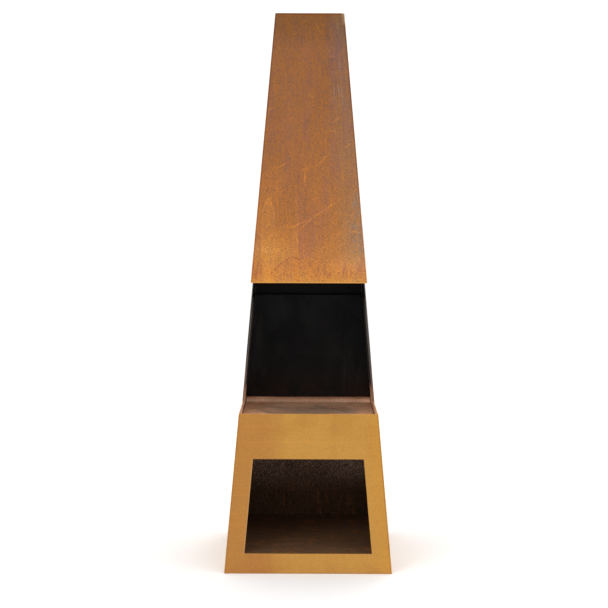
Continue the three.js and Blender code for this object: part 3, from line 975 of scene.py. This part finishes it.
def corner_seams():
    """Up the inner corners without a break, clear of the hearth plate and of the fire's open corners."""
    front_spans = ((SEAM_FOOT, SEAM_UNDER_HEARTH), (SEAM_OVER_LIP, SEAM_TOP))
    rear_spans = ((SEAM_FOOT, SEAM_TOP),)
    result = []
    for sign_x in (-1, 1):
        for sign_y, spans in ((-1, front_spans), (1, rear_spans)):
            for span in spans:
                ends = []
                for z in span:
                    reach = inner_half(z) - SEAM_REACH
                    ends.append(Vector((sign_x * reach, sign_y * reach, z)))
                result.append(tuple(ends))
    return result


# ---------------------------------------------------------------- fixings
NUT_HEIGHT = 0.0065
NUT_APOTHEM = 0.0065
THREAD_RADIUS = 0.004
THREAD_DEPTH = 0.00035
THREAD_PITCH = 0.00125
NUT_CLEARANCE = 0.0002
COUNTERSINK = 0.0005
CHAMFER_SHARE = 0.96  # of the apothem, at the rim of the nut's flat face
CHAMFER_SLOPE = math.tan(math.radians(30))
STUD_TIP = 0.0009
STUD_SIDES = 24
RINGS_PER_THREAD = 6
ROUND_SIDES = 48


def chamfered_nut():
    """A hexagon nut with rounded-off corners and a countersunk hole, standing on Z, as lofted rings."""
    chamfer_radius = NUT_APOTHEM * CHAMFER_SHARE
    top = NUT_HEIGHT / 2
    hole = THREAD_RADIUS + NUT_CLEARANCE
    angles = [2 * math.pi * k / ROUND_SIDES for k in range(ROUND_SIDES)]

    def circle(radius, z):
        return [(radius * math.cos(a), radius * math.sin(a), z) for a in angles]

    def hexagon(side):
        ring = []
        for a in angles:
            from_flat = (a % (math.pi / 3)) - math.pi / 6
            radius = NUT_APOTHEM / math.cos(from_flat)
            z = side * (top - (radius - chamfer_radius) * CHAMFER_SLOPE)
            ring.append((radius * math.cos(a), radius * math.sin(a), z))
        return ring

    rings = [
        circle(hole, -top + COUNTERSINK),
        circle(hole + COUNTERSINK, -top),
        circle(chamfer_radius, -top),
        hexagon(-1),
        hexagon(1),
        circle(chamfer_radius, top),
        circle(hole + COUNTERSINK, top),
        circle(hole, top - COUNTERSINK),
    ]
    return loft(rings, closed=True)


def threaded_stud(length):
    """A stud on Z with a real helical thread and tapered ends."""
    rings = []
    levels = int(length / THREAD_PITCH * RINGS_PER_THREAD)
    for level in range(levels + 1):
        z = -length / 2 + length * level / levels
        to_end = min(z + length / 2, length / 2 - z)
        taper = max(0.0, STUD_TIP - to_end)
        ring = []
        for k in range(STUD_SIDES):
            turn = k / STUD_SIDES
            phase = (z / THREAD_PITCH - turn) % 1.0
            groove = THREAD_DEPTH * (1 - abs(2 * phase - 1))
            radius = THREAD_RADIUS - groove - taper
            angle = 2 * math.pi * turn
            ring.append((radius * math.cos(angle), radius * math.sin(angle), z))
        rings.append(ring)
    return loft(rings, closed=False)


def on_back_wall(node):
    """The place and lean of a fixing on the back wall."""
    low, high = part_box(node)
    outward = Vector((0, math.cos(LEAN), math.sin(LEAN)))
    turn = outward.to_track_quat("Z", "X").to_matrix().to_4x4()
    return Matrix.Translation((low + high) / 2) @ turn


def add_fixings(material):
    stud_low, stud_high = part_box("back_plate_stud_1")
    stud_length = (stud_high.y - stud_low.y - 2 * THREAD_RADIUS * math.sin(LEAN)) / math.cos(LEAN)
    shapes = {"stud": threaded_stud(stud_length), "nut": chamfered_nut()}
    for number in range(1, 5):
        for kind, (vertices, faces) in shapes.items():
            node = f"back_plate_{kind}_{number}"
            piece = mesh_object(f"detailed_{kind}_{number}", vertices, faces, material, smooth=False)
            piece.matrix_world = on_back_wall(node)
            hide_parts(node)
            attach(piece, "body")
        for kind in ("spacer", "washer"):
            dress(f"back_plate_{kind}_{number}", material, FIXING_ARRIS)


# ---------------------------------------------------------------- the object
def dress_panels(rust, edge):
    for node in ("left_side_panel", "right_side_panel", "back_panel", "base_front_panel"):
        dress(node, rust, SHEET_ARRIS, edge)
    dress("hood_front_panel", rust, FOLD_ARRIS, edge)


def dress_inner_pieces(steel, hot):
    for corner in ("front_left", "front_right", "rear_right", "rear_left"):
        dress(f"base_gusset_{corner}", steel, GUSSET_ARRIS)
    for place in TURNS:
        dress(f"log_ledge_{place}", steel, FOLD_ARRIS)
        dress(f"hearth_ledge_{place}", steel, FOLD_ARRIS)
    dress("log_store_floor", steel, SHEET_ARRIS)
    dress("hearth_plate", hot, PLATE_ARRIS)


def dress_lining(black, highlit_grey):
    dress("fire_back_plate", black, LINING_ARRIS)
    for side in ("left", "right"):
        dress(f"fire_liner_{side}", highlit_grey, LINING_ARRIS)


add_camera()
add_studio()
weld = weld_metal()
dress_panels(weathered_steel(), worn_edge())
dress_inner_pieces(inner_steel(), fired_steel())
dress_lining(black_steel(), liner_grey_painted_light())
add_fixings(zinc_steel())
add_welds("log_ledge_welds", ledge_stitches("log_ledge"), weld)
add_welds("hearth_ledge_welds", ledge_stitches("hearth_ledge"), weld)
add_welds("gusset_welds", gusset_stitches(), weld)
add_welds("corner_welds", corner_seams(), weld)
